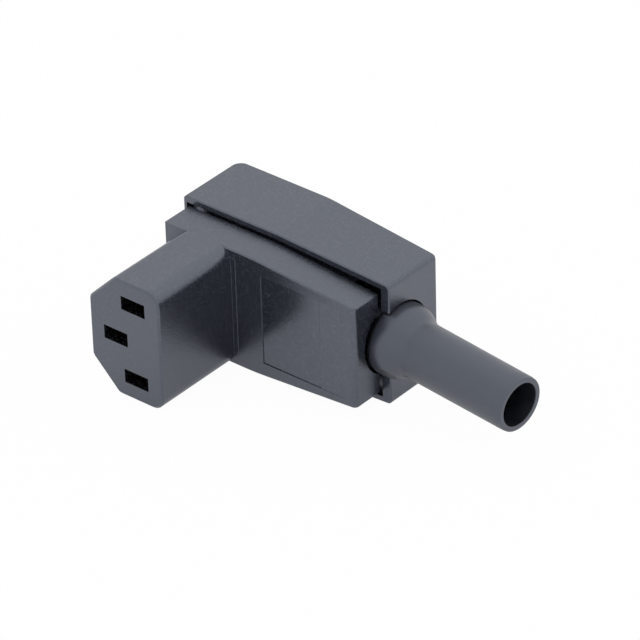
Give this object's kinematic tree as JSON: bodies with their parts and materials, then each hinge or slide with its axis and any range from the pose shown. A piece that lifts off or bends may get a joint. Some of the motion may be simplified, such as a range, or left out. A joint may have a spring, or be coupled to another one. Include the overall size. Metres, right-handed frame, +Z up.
{
  "type": "c13 power connector",
  "caption": "Right-angle rewireable C13 mains connector: a nose with slots for the inlet's pins, a screw-down rear cover, and a soft bend relief boot for the cord leaving sideways.",
  "frame": {"origin": "on the mating face of the nose, midway between the line and neutral slots", "axes": "-Y points out of the mating face at the appliance inlet, +X runs to the cord, +Z is up as the connector lies on its side"},
  "size_m": [0.0691, 0.0384, 0.025],
  "materials": {
    "housing_plastic": "black moulded polyamide, finely spark-textured, satin",
    "boot_rubber": "soft black thermoplastic elastomer, smooth matte",
    "clamp_plastic": "black moulded polyamide, plain",
    "contact_brass": "stamped and turned brass, bright",
    "screw_steel": "zinc plated steel"
  },
  "bodies": {
    "root": {"front_housing": "housing_plastic", "rear_cover": "housing_plastic", "bend_relief_boot": "boot_rubber", "line_contact": "contact_brass", "neutral_contact": "contact_brass", "earth_contact": "contact_brass", "line_terminal_nut": "contact_brass", "neutral_terminal_nut": "contact_brass", "earth_terminal_nut": "contact_brass", "line_wire_clamp": "screw_steel", "neutral_wire_clamp": "screw_steel", "earth_wire_clamp": "screw_steel", "line_terminal_screw": "screw_steel", "neutral_terminal_screw": "screw_steel", "earth_terminal_screw": "screw_steel", "cord_clamp_bridge": "clamp_plastic", "cord_clamp_screw_upper": "screw_steel", "cord_clamp_screw_lower": "screw_steel", "cover_screw_insert": "contact_brass", "cover_screw": "screw_steel"}
  },
  "joints": []
}
